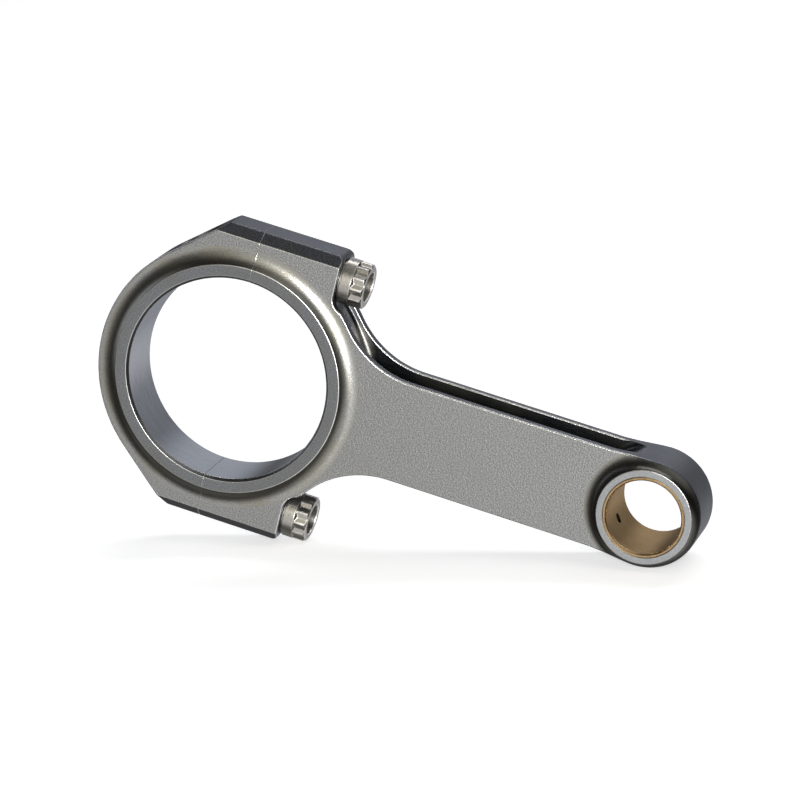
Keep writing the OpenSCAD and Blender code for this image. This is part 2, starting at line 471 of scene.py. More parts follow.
def big_end_rows(side_x):
    """Rows of the surface turned about the big bore, on one side of the joint."""
    rows = []
    for radius, height in BIG_PROFILE:
        edge_z = math.sqrt(radius**2 - SPLIT_CHAMFER**2)
        row = [(side_x * SPLIT_CHAMFER, height, edge_z)]
        for i in range(1, BORE_STEPS):
            row.append(turned_point((0, 0), radius, 90 - side_x * 180 * i / BORE_STEPS, height))
        row.append((side_x * SPLIT_CHAMFER, height, -edge_z))
        rows.append(row)
    return rows


def add_big_end(half, turned):
    """The upper part of the ring and fillet round the big bore. Returns the fillet's edge."""
    upper_part = BORE_STEPS // 2 + 1
    half.strips([row[:upper_part] for row in turned], BIG_FINISHES)
    return turned[-1][:upper_part]


def joint_face(shell, turned, rows, side_x):
    """Adds the chamfer round one joint face, and the face itself, from their (z, y) section."""
    section = [(row[0][2], row[0][1]) for row in turned]
    section += [(z, face_height(0, z)) for z in reversed(CREASE_ZS)]
    section += [(row[0][2], row[0][1]) for row in rows]
    loop = section + [(z, -y) for z, y in reversed(section)]
    inward = normals([loop[-1]] + loop + [loop[0]], 1)[1:-1]
    outer = [(side_x * SPLIT_CHAMFER, y, z) for z, y in loop]
    inset = [add(p, n, SPLIT_CHAMFER) for p, n in zip(loop, inward)]
    inner = [(0.0, y, z) for z, y in inset]
    shell.strips([outer, inner], PEENED, closed=True)
    shell.polygon(inner, GROUND)


def shoulder_faces(shell, rows, crease_columns, side_x):
    """Adds the bevelled strip of a shoulder's face above the crease, and the crease itself."""
    edge = rows[0]
    x = side_x * SPLIT_CHAMFER
    at_joint = [(x, face_height(x, edge[i][2]), edge[i][2]) for i in crease_columns]
    at_edge = [edge[i] for i in crease_columns]
    shell.strips([at_joint, at_edge], PEENED)
    shell.polygon([at_joint[0]] + edge[crease_columns[0] :: -1], PEENED)


# ---- Outline of the rod, its upper half from the joint to the small end's tip ----

notch_centre = (SEAT_X - NOTCH_R, NOTCH_Z)
flare_centre_z = BEAM_Z + FLARE_R
flare_centre = (-math.sqrt((OUTER_R + FLARE_R) ** 2 - flare_centre_z**2), flare_centre_z)
flare_start = add((0, 0), flare_centre, OUTER_R / (OUTER_R + FLARE_R))
small_centre = (SMALL_X, 0.0)
blend_start = (BLEND_X, BEAM_Z)
blend_run = math.sqrt(math.dist(blend_start, small_centre) ** 2 - SMALL_R**2)
blend_angle = angle_of(blend_start, small_centre) + math.degrees(
    math.acos(SMALL_R / math.dist(blend_start, small_centre))
)
blend_end = polar(small_centre, SMALL_R, blend_angle)
blend_dir = (
    (blend_start[0] - blend_end[0]) / blend_run,
    (blend_start[1] - blend_end[1]) / blend_run,
)
# Distances from the blend's end at which the small end's fillet and the channel run out
fillet_run = math.sqrt(SMALL_FILLET_CENTRE[0] ** 2 - (SMALL_R - EDGE_R) ** 2)
channel_run = math.sqrt(CHANNEL_SMALL_R**2 - SMALL_R**2)


def runout_distance(degrees):
    """Distance from the blend's end at which the channel keeps this angle of its floor fillet."""
    depth = FLOOR_FILLET_R * (1 - math.cos(math.radians(degrees)))
    return math.sqrt((CHANNEL_SMALL_R + depth) ** 2 - SMALL_R**2)


def rod_path():
    """The outline's upper half, and the points on it that other surfaces share."""
    # The notch runs past the nearer crossing of the two circles and ends at the farther one
    notch_meets = min(circle_meets_circle((0, 0), OUTER_R, notch_centre, NOTCH_R))
    ease = 0.5
    blend_ease = 1.5
    notch_end_angle = angle_of(notch_meets, notch_centre) % 360 - 360
    notch_stop = notch_end_angle + math.degrees(ease / NOTCH_R)
    round_start = angle_of(notch_meets) + math.degrees(ease / OUTER_R)
    seat = [(SEAT_X, SHOULDER_Z - SHOULDER_CORNER_R)] + [(SEAT_X, z) for z in CREASE_ZS]
    seat += [(SEAT_X, NOTCH_Z)]
    corner_centre = (SEAT_X + SHOULDER_CORNER_R, SHOULDER_Z - SHOULDER_CORNER_R)
    shoulder = line((-SPLIT_CHAMFER, SHOULDER_Z), (corner_centre[0], SHOULDER_Z), 3)
    corner = arc(corner_centre, SHOULDER_CORNER_R, 90, 180, 0.35)
    notch = arc(notch_centre, NOTCH_R, 0, notch_stop, 0.4)
    kink = bezier(notch[-1], notch_meets, polar((0, 0), OUTER_R, round_start), 5)
    big_round = arc((0, 0), OUTER_R, round_start, angle_of(flare_start), 0.7)
    flare = arc(flare_centre, FLARE_R, angle_of(flare_start, flare_centre), -90, 0.8)
    beam = line((flare_centre[0], BEAM_Z), (BLEND_X + blend_ease, BEAM_Z), 8)
    kink_end = add(blend_start, blend_dir, -blend_ease)
    into_blend = bezier(beam[-1], blend_start, kink_end, 4)
    # Distances from the blend's end of the points along it
    stops = [blend_run - blend_ease, fillet_run, 3.6, 1.8, 0.0]
    stops += [runout_distance(degrees) for degrees in RUNOUT_ANGLES]
    blend = [add(blend_end, blend_dir, run) for run in sorted(stops, reverse=True)]
    small_round = arc(small_centre, SMALL_R, blend_angle, 180, 0.65)
    path = joined(
        shoulder, corner, seat, notch, kink, big_round, flare, beam, into_blend, blend, small_round
    )
    marks = {
        "crease": [index_of(path, (SEAT_X, z)) for z in CREASE_ZS],
        "seat_top": index_of(path, (SEAT_X, SHOULDER_Z - SHOULDER_CORNER_R)),
        "channel_start": index_of(path, (SEAT_X, NOTCH_Z)),
        "flare": index_of(path, flare_start),
        "fillet": index_of(path, add(blend_end, blend_dir, fillet_run)),
        "channel_end": index_of(path, add(blend_end, blend_dir, channel_run)),
    }
    return path, marks


def channel_path(runout):
    """The channel's floor, from the seat down to the web and up below the runout's outline."""
    web = WEB_Z
    c = CHANNEL_CORNER_R
    big_corner = (-math.sqrt((CHANNEL_BIG_R + c) ** 2 - (web + c) ** 2), web + c)
    small_corner = (SMALL_X + math.sqrt((CHANNEL_SMALL_R + c) ** 2 - (web + c) ** 2), web + c)
    foot = (SEAT_X, math.sqrt(CHANNEL_BIG_R**2 - SEAT_X**2))
    ease = 1.6
    seat = line((SEAT_X, NOTCH_Z), (SEAT_X, foot[1] + ease), 5)
    past_foot = angle_of(foot) + math.degrees(ease / CHANNEL_BIG_R)
    turn = bezier(seat[-1], foot, polar((0, 0), CHANNEL_BIG_R, past_foot), 8)
    big = arc((0, 0), CHANNEL_BIG_R, past_foot, angle_of(big_corner), 0.9)
    down = arc(big_corner, c, angle_of((0, 0), big_corner), -90, 0.6)
    floor = line((big_corner[0], web), (small_corner[0], web), 6)
    up = arc(small_corner, c, -90, -180 + angle_of(small_corner, small_centre), 0.6)
    small = arc(
        small_centre,
        CHANNEL_SMALL_R,
        angle_of(small_corner, small_centre),
        angle_of(runout[0], small_centre),
        0.6,
    )
    below = [polar(small_centre, CHANNEL_SMALL_R, angle_of(p, small_centre)) for p in runout[1:]]
    return joined(seat, turn, big, down, floor, up, small, below)


def nearest(point, path):
    """Distance from a point to a path of straight pieces."""
    best = 1e9
    for a, b in zip(path, path[1:]):
        dx, dz = b[0] - a[0], b[1] - a[1]
        t = ((point[0] - a[0]) * dx + (point[1] - a[1]) * dz) / (dx * dx + dz * dz)
        t = min(max(t, 0.0), 1.0)
        best = min(best, math.dist(point, (a[0] + t * dx, a[1] + t * dz)))
    return best


def build_channel(shell, mouth_path, mouth_rows):
    """The milled channel below a stretch of the outline, and the flange tops beside it.

    Where the channel gets shallower than its floor fillet, only part of the fillet is left and
    the opening narrows.
    """
    deepest = CHANNEL_SMALL_R + FLOOR_FILLET_R + 1e-6
    runout = [p for p in mouth_path if math.dist(p, small_centre) < deepest]
    mouth_deep = len(mouth_path) - len(runout)
    floor = channel_path(runout)
    floor_deep = len(floor) - len(runout)
    outward = normals(mouth_path, 1)
    up = normals(floor, 1)
    left = [90.0] * len(floor)
    for i, p in enumerate(runout):
        up[floor_deep + i] = polar((0, 0), 1.0, angle_of(p, small_centre))
        depth = math.dist(p, small_centre) - CHANNEL_SMALL_R
        cosine = min(max(1 - depth / FLOOR_FILLET_R, 0.0), 1.0)
        left[floor_deep + i] = math.degrees(math.acos(cosine))
    # The fillet and the lip get smaller where the channel is shallow beside the big end
    radii = []
    for p in floor:
        beside_big = p[0] > flare_centre[0]
        most = FILLET_SHARE * nearest(p, mouth_path) if beside_big else FLOOR_FILLET_R
        radii.append(min(FLOOR_FILLET_R, most))
    radii[0] = 0.0
    lips = []
    for p in mouth_path[:mouth_deep]:
        depth = nearest(p, floor)
        beside_big = p[0] > flare_centre[0]
        most = LIP_SHARE * depth if beside_big else SPARE_LIP_SHARE * (depth - FLOOR_FILLET_R)
        lips.append(min(LIP_R, max(most, 0.0)))
    lips += [0.0] * len(runout)
    lips[0] = 0.0
    # Half the opening's width at each point of the outline
    halves = [CHANNEL_Y] * mouth_deep
    for degrees in left[floor_deep:]:
        halves.append(CHANNEL_Y - FLOOR_FILLET_R * (1 - math.sin(math.radians(degrees))))

    lip_rows = []
    for k in range(LIP_STEPS + 1):
        angle = math.pi / 2 * k / LIP_STEPS
        row = []
        for p, n, lip, half in zip(mouth_path, outward, lips, halves):
            x, z = add(p, n, -lip * (1 - math.cos(angle)))
            row.append((x, half + lip * (1 - math.sin(angle)), z))
        lip_rows.append(row)
    fillet_rows = []
    for k in range(FLOOR_FILLET_STEPS + 1):
        row = []
        for p, n, radius, degrees in zip(floor, up, radii, left):
            angle = math.radians(degrees) * (1 - k / FLOOR_FILLET_STEPS)
            x, z = add(p, n, radius * (1 - math.cos(angle)))
            row.append((x, CHANNEL_Y - radius * (1 - math.sin(angle)), z))
        fillet_rows.append(row)
    for mirror in (list, flip_y):
        side = [mirror(row) for row in [mouth_rows] + lip_rows]
        shell.strips(side, PEENED)
        foot = mirror(fillet_rows[0])[1:floor_deep]
        shell.polygon(side[-1][: mouth_deep + 1] + list(reversed(foot)), MILLED)
        shell.strips([mirror(row) for row in fillet_rows], MILLED)
    shell.strips([fillet_rows[-1], flip_y(fillet_rows[-1])], MILLED)


def build_small_end(half, edge):
    """The ring and fillet turned about the small end, whose columns follow the outline's edge.

    Returns the row at the bore, and the fillet's outer row where it faces the beam.
    """
    outer = [(angle_of((x, z), small_centre), math.hypot(x - SMALL_X, z)) for x, _, z in edge]
    steps = 12
    facing = [(outer[0][0] * i / steps, SMALL_FILLET_CENTRE[0]) for i in range(steps)]
    columns = facing + outer
    rows = []
    for radius, height in SMALL_RING:
        rows.append([turned_point(small_centre, radius, angle, height) for angle, _ in columns])
    profiles = []
    for _, reach in columns:
        profiles.append(fillet_points(
            SMALL_FILLET_CENTRE, SMALL_FILLET_R, SMALL_RING[-1][0], reach, SMALL_FILLET_STEPS
        ))
    for k in range(1, SMALL_FILLET_STEPS + 1):
        row = []
        for (angle, _), profile in zip(columns, profiles):
            row.append(turned_point(small_centre, profile[k][0], angle, profile[k][1]))
        rows.append(row)
    # The bore's chamfer lies in shadow beside the bush, so it has the finish of the holes
    half.strips(rows, [HOLE] * 3 + [GROUND] + [TURNED] * (len(rows) - 5))
    return rows[0], rows[-1][: steps + 1]


def build_rod():
    path, marks = rod_path()
    rows = edge_rows(path, normals(path, 1, (-1.0, 0.0)))
    shell = Shell()

    # Rounded edges of both faces, and the side of the outline where no channel is cut
    shell.strips(rows, PEENED)
    shell.strips([flip_y(row) for row in rows], PEENED)
    side = rows[-1]
    first, last = marks["channel_start"], marks["channel_end"]
    seat_top = marks["seat_top"]
    shell.strips([side[: seat_top + 1], flip_y(side[: seat_top + 1])], PEENED)
    seat = side[seat_top : first + 1]
    middle = [(SEAT_X, CHANNEL_Y, NOTCH_Z), (SEAT_X, -CHANNEL_Y, NOTCH_Z)]
    shell.polygon(seat + middle + flip_y(reversed(seat)), GROUND)
    end = side[last]
    step = side[last + 1]
    narrowest = CHANNEL_Y - FLOOR_FILLET_R
    mouth = [(end[0], narrowest, end[2]), (end[0], -narrowest, end[2])]
    shell.polygon([end] + mouth + flip_y([end, step]) + [step], PEENED)
    shell.strips([side[last + 1 :], flip_y(side[last + 1 :])], PEENED)
    build_channel(shell, path[first : last + 1], side[first : last + 1])

    # One face: its shoulder, the turned surfaces at both ends, and the flat between them
    half = Shell()
    shoulder_faces(half, rows, marks["crease"], -1)
    fillet_at = marks["fillet"]
    small_edge, facing = build_small_end(half, rows[0][fillet_at:])
    turned = big_end_rows(-1)
    rim = add_big_end(half, turned)
    flare_at = marks["flare"]
    nearest_to_flare = index_of([(x, z) for x, _, z in rim], flare_start)
    around = [(-SPLIT_CHAMFER, FACE_Y, CREASE_ZS[2])] + rows[0][marks["crease"][2] : flare_at + 1]
    half.polygon(around + rim[nearest_to_flare::-1], PEENED)
    beam_face = rows[0][flare_at : fillet_at + 1] + facing[-2::-1]
    half.polygon(beam_face + rim[: nearest_to_flare - 1 : -1], PEENED)
    half.mirrored(1)
    shell.include(half)

    joint_face(shell, turned, rows, -1)
    for edge in (turned[0][: len(rim)], small_edge):
        shell.strips([edge, flip_y(edge)], BORED)
    shell.mirrored(2)
    return shell.mesh("rod")


def cap_path():
    """The cap's outline from the joint to its middle, and the points where the crease meets it."""
    corner = (CAP_FLAT_X, SHOULDER_Z)
    distance = math.hypot(*corner)
    tangent_angle = angle_of(corner) - math.degrees(math.acos(OUTER_R / distance))
    tangent = polar((0, 0), OUTER_R, tangent_angle)
    outward = polar((0, 0), 1.0, tangent_angle)
    run = math.dist(corner, tangent)
    along = ((tangent[0] - corner[0]) / run, (tangent[1] - corner[1]) / run)
    ease = 0.7
    top = line((SPLIT_CHAMFER, SHOULDER_Z), (CAP_FLAT_X - ease, SHOULDER_Z), 2)
    kink = bezier(top[-1], corner, add(corner, along, ease), 6)
    crease_points = []
    for z in CREASE_ZS:
        travel = (z + EDGE_R * outward[1] - corner[1]) / along[1]
        crease_points.append(add(corner, along, travel))
    flank = [kink[-1]] + crease_points + line(crease_points[-1], tangent, 4)
    round_end = arc((0, 0), OUTER_R, tangent_angle, 0, 0.7)
    path = joined(top, kink, flank, round_end)
    return path, [index_of(path, p) for p in crease_points]


def build_cap():
    path, crease = cap_path()
    rows = edge_rows(path, normals(path, -1, (1.0, 0.0)))
    half = Shell()
    half.strips(rows, PEENED)
    shoulder_faces(half, rows, crease, 1)
    turned = big_end_rows(1)
    rim = add_big_end(half, turned)
    around = [(SPLIT_CHAMFER, FACE_Y, CREASE_ZS[2])] + rows[0][crease[2] :]
    half.polygon(around + rim[::-1], PEENED)
    half.mirrored(1)

    shell = Shell()
    shell.include(half)
    shell.strips([rows[-1], flip_y(rows[-1])], PEENED)
    joint_face(shell, turned, rows, 1)
    big_edge = turned[0][: len(rim)]
    shell.strips([big_edge, flip_y(big_edge)], BORED)
    shell.mirrored(2)
    return shell.mesh("cap")


# ---- Screws, sleeves and bush ----

HEAD_R = 7.0
COLLAR_H = 4.1
COLLAR_EDGE_R = 0.35
HEAD_H = 8.0
HEAD_CHAMFER = 0.6
WASHER_R = 6.1
WASHER_H = 0.5
WASHER_CHAMFER = 0.15
RECESS_R = 4.4
RECESS_DEPTH = 4.5
RECESS_CONE_H = 2.0
SCREW_LENGTH = 39.0
SHANK_R = 4.45
SHANK_FILLET_R = 0.35
SHANK_FILLET_H = 0.9
THREAD_R = 4.75
THREAD_ROOT_R = 4.15
THREAD_PITCH = 1.06
THREAD_LENGTH = 17.0
# The thread over one pitch: shares of the pitch, and heights from 0 at the root to 1 at the crest
THREAD_PROFILE = ((0.0, 1.0), (0.06, 1.0), (0.44, 0.0), (0.56, 0.0), (0.94, 1.0))
TIP_R = THREAD_R - 1.0
# Steepness of the tip's chamfer: radius gained for each millimetre from its end
TIP_SLOPE = 1.2
CENTRE_DRILL_R = 1.6
CENTRE_DRILL_H = 1.2
SHANK_COLUMNS = 48
HEAD_COLUMNS = 3 * SHANK_COLUMNS
SLEEVE_OUTER_R = 5.5
SLEEVE_INNER_R = 4.9
SLEEVE_LENGTH = 8.0
# Finishes of a screw, and of the bush
SCREW_FACE, SCREW_THREAD = range(2)
BUSH_FACE, BUSH_HOLE = range(2)


def head_radius(angle):
    """Radius of the twelve-point part: the outer edge of two crossed hexagons, tips eased."""
    flat = HEAD_R * math.cos(math.radians(30))
    best = 0.0
    for turn in (0, 30):
        local = (math.degrees(angle) + turn) % 60 - 30
        best = max(best, flat / math.cos(math.radians(local)))
    return min(best, HEAD_R - 0.07)


def head_rows(place):
    """Rows of points over the head, from the seat to the bottom of its recess."""
    angles = [2 * math.pi * (i + 0.5) / HEAD_COLUMNS for i in range(HEAD_COLUMNS)]
    rows = []

    def ring(radius, height):
        """A row whose radius and height are functions of the angle."""
        rows.append([
            place(radius(a) * math.cos(a), radius(a) * math.sin(a), height(a)) for a in angles
        ])

    def plain(radius, height):
        ring(lambda a: radius, lambda a: height)

    # Washer face and round collar
    plain(WASHER_R - WASHER_CHAMFER, 0.0)
    plain(WASHER_R, WASHER_CHAMFER)
    plain(WASHER_R, WASHER_H)
    straight_r = HEAD_R - COLLAR_EDGE_R
    low_h = WASHER_H + COLLAR_EDGE_R
    high_h = COLLAR_H - COLLAR_EDGE_R
    for degrees in (-90, -67.5, -45, -22.5, 0):
        plain(*polar((straight_r, low_h), COLLAR_EDGE_R, degrees))
    for degrees in (0, 13.5, 27, 40.5, 54):
        top_r, top_h = polar((straight_r, high_h), COLLAR_EDGE_R, degrees)
        plain(top_r, top_h)

    # The cutter's runout from the collar up to the foot of the twelve points
    runout_slope = math.tan(math.radians(50))

    def foot(a):
        return top_h + max(top_r - head_radius(a), 0.0) * runout_slope

    def inward(a):
        return min(head_radius(a), top_r)

    for share in (0.5, 0.85):
        ring(
            lambda a: top_r + (inward(a) - top_r) * share,
            lambda a: top_h + (foot(a) - top_h) * share,
        )
    ring(lambda a: inward(a) + 0.02 * (head_radius(a) - inward(a)), lambda a: foot(a) + 0.06)
    ring(head_radius, lambda a: foot(a) + 0.3)

    # The points' chamfered upper ends, with eased edges
    end_r = HEAD_R - HEAD_CHAMFER - 0.25
    cone = HEAD_CHAMFER / (HEAD_R - end_r)

    def corner(a):
        return HEAD_H - (head_radius(a) - end_r) * cone

    ring(head_radius, lambda a: corner(a) - 0.12)
    ring(lambda a: head_radius(a) - 0.03, lambda a: corner(a) - 0.03)
    ring(lambda a: head_radius(a) - 0.12, lambda a: corner(a) + 0.12 * cone - 0.02)
    plain(end_r + 0.16, HEAD_H - 0.15 * cone)
    plain(end_r + 0.03, HEAD_H - 0.03)
    plain(end_r - 0.12, HEAD_H)

    # The drilled recess, with its cone
    floor_h = HEAD_H - RECESS_DEPTH
    plain(RECESS_R + 0.35, HEAD_H)
    plain(RECESS_R + 0.1, HEAD_H - 0.08)
    plain(RECESS_R, HEAD_H - 0.35)
    plain(RECESS_R, floor_h + 0.3)
    plain(RECESS_R - 0.1, floor_h + 0.05)
    plain(RECESS_R - 0.35, floor_h - 0.12)
    plain(0.6, floor_h - RECESS_CONE_H + 0.3)
    plain(0.0, floor_h - RECESS_CONE_H)
    return rows


def thread_height(phase):
    """Height of the thread's profile, from 0 to 1, at this share of its pitch."""
    phase %= 1.0
    for (start, height), (end, next_height) in zip(THREAD_PROFILE, THREAD_PROFILE[1:]):
        if start <= phase <= end:
            return height + (next_height - height) * (phase - start) / (end - start)
    return 1.0


def add_thread(shell, place, tip, top):
    """A helical thread between two heights. Its first and last rings are plain circles."""
    turns = int((top - tip) / THREAD_PITCH) + 3
    shares = (0.0, 0.06, 0.25, 0.44, 0.56, 0.75, 0.94)
    rows = []
    for value in [turn + share for turn in range(-1, turns) for share in shares]:
        row = []
        for i in range(SHANK_COLUMNS + 1):
            height = tip + (value + i / SHANK_COLUMNS - 0.5) * THREAD_PITCH
            height = min(max(height, tip), top)
            radius = THREAD_ROOT_R + (THREAD_R - THREAD_ROOT_R) * thread_height(value)
            radius = min(radius, TIP_R + TIP_SLOPE * (height - tip))
            fade = min(max((height - top) / THREAD_PITCH + 1.0, 0.0), 1.0)
            radius += (SHANK_R - radius) * fade
            row.append(place(*polar((0, 0), radius, 360 * i / SHANK_COLUMNS), height))
        rows.append(row)
    shell.strips(rows, SCREW_THREAD)


def build_screw(side):
    place = along_screw(side)
    shell = Shell()
    head = head_rows(place)
    shell.strips(head, SCREW_FACE, closed=True)
    tip = -SCREW_LENGTH
    top = tip + THREAD_LENGTH

    def ring(radius, height):
        return circle(place, radius, height, SHANK_COLUMNS)

    shank = [ring(SHANK_R, top), ring(SHANK_R, -SHANK_FILLET_H)]
    for k in range(1, 5):
        turn = math.pi / 2 * k / 4
        radius = SHANK_R + SHANK_FILLET_R * (1 - math.cos(turn))
        shank.append(ring(radius, SHANK_FILLET_H * (math.sin(turn) - 1)))
    shell.strips(shank, SCREW_FACE, closed=True)
    add_thread(shell, place, tip, top)
    end = [ring(TIP_R, tip), ring(CENTRE_DRILL_R, tip)]
    end += [ring(CENTRE_DRILL_R - 0.2, tip + 0.15), ring(0.0, tip + CENTRE_DRILL_H)]
    shell.strips(end, SCREW_FACE, closed=True)
    # The underside of the head: three columns of the washer face for each of the shank's
    inner, outer = shank[-1], head[0]
    for i in range(SHANK_COLUMNS):
        across = [outer[(3 * i + j) % HEAD_COLUMNS] for j in range(4)]
        shell.polygon([inner[i]] + across + [inner[(i + 1) % SHANK_COLUMNS]], SCREW_FACE)
    return shell.mesh("screw")


def tube_profile(inner_r, outer_r, half_length, inner_chamfer, outer_chamfer):
    """Closed (radius, height) profile of a tube with chamfered ends."""
    top = [
        (inner_r, half_length - inner_chamfer),
        (inner_r + 0.3 * inner_chamfer, half_length - 0.55 * inner_chamfer),
        (inner_r + inner_chamfer, half_length),
        (outer_r - outer_chamfer, half_length),
        (outer_r, half_length - outer_chamfer),
    ]
    bottom = [(radius, -height) for radius, height in reversed(top)]
    return top + bottom + [top[0]]


# Radii of the screw's holes, and the room round a sleeve in the rod
CLEARANCE_HOLE_R = 4.9
TAPPED_HOLE_R = 4.8
POCKET_GAP = 0.03
# How far the cutters reach past the faces that they open into
PAST_SEAT = 3.0
PAST_JOINT = 1.0
PAST_CHANNEL = 4.0
PAST_BUSH = 2.0
PAST_PIN_BORE = 3.0


def oil_hole_cutters(name, to_r, finish):
    """Cutters for the two oil holes, from inside the pin bore to this far from its axis."""
    from_r = BUSH_INNER_R - PAST_PIN_BORE
    profile = [(0.0, from_r), (OIL_HOLE_R, from_r), (OIL_HOLE_R, to_r), (0.0, to_r)]
    cutters = []
    for degrees in (-OIL_HOLE_ANGLE, OIL_HOLE_ANGLE):
        x, z = polar((0, 0), 1.0, degrees)
        place = lambda a, b, h: (SMALL_X + x * h - z * b, a, z * h + x * b)
        cutters.append(turned_object(name, profile, place, finish, 40))
    return cutters


def screw_hole_cutters(name, profile):
    """Cutters turned about both screws' axes from (radius, x) points."""
    return [turned_object(name, profile, across_joint(side), HOLE, 72) for side in (-1, 1)]


def rod_cutters():
    mouth, pocket_mouth = 0.4, 0.3
    pocket_r = SLEEVE_OUTER_R + POCKET_GAP
    profile = [
        (0.0, SEAT_X - PAST_SEAT),
        (CLEARANCE_HOLE_R + mouth + PAST_SEAT, SEAT_X - PAST_SEAT),
        (CLEARANCE_HOLE_R, SEAT_X + mouth),
        (CLEARANCE_HOLE_R, -SLEEVE_LENGTH / 2),
        (pocket_r, -SLEEVE_LENGTH / 2),
        (pocket_r, -pocket_mouth),
        (pocket_r + pocket_mouth + PAST_JOINT, PAST_JOINT),
        (0.0, PAST_JOINT),
    ]
    oil_holes = oil_hole_cutters("oil_hole", CHANNEL_SMALL_R + PAST_CHANNEL, HOLE)
    return oil_holes + screw_hole_cutters("screw_hole", profile)


def cap_cutters():
    pocket_mouth = 0.1
    return screw_hole_cutters("tapped_hole", [
        (0.0, -PAST_JOINT),
        (SLEEVE_OUTER_R + PAST_JOINT, -PAST_JOINT),
        (SLEEVE_OUTER_R, pocket_mouth),
        (SLEEVE_OUTER_R, SLEEVE_LENGTH / 2),
        (TAPPED_HOLE_R, SLEEVE_LENGTH / 2),
        (TAPPED_HOLE_R, OUTER_R),
        (0.0, OUTER_R),
    ])


# ---- Materials ----


def feed(tree, socket, value):
    """Links what comes from another node to a socket, or sets a plain value on it."""
    if isinstance(value, bpy.types.NodeSocket):
        tree.links.new(value, socket)
    else:
        socket.default_value = value


def node(tree, kind, *in_order, **by_name):
    """Adds a shader node. Its inputs are given in order or by name, its settings by name."""
    made = tree.nodes.new("ShaderNode" + kind)
    for socket, value in zip(made.inputs, in_order):
        feed(tree, socket, value)
    for name, value in by_name.items():
        socket = made.inputs.get(name)
        if socket:
            feed(tree, socket, value)
        else:
            setattr(made, name, value)
    return made


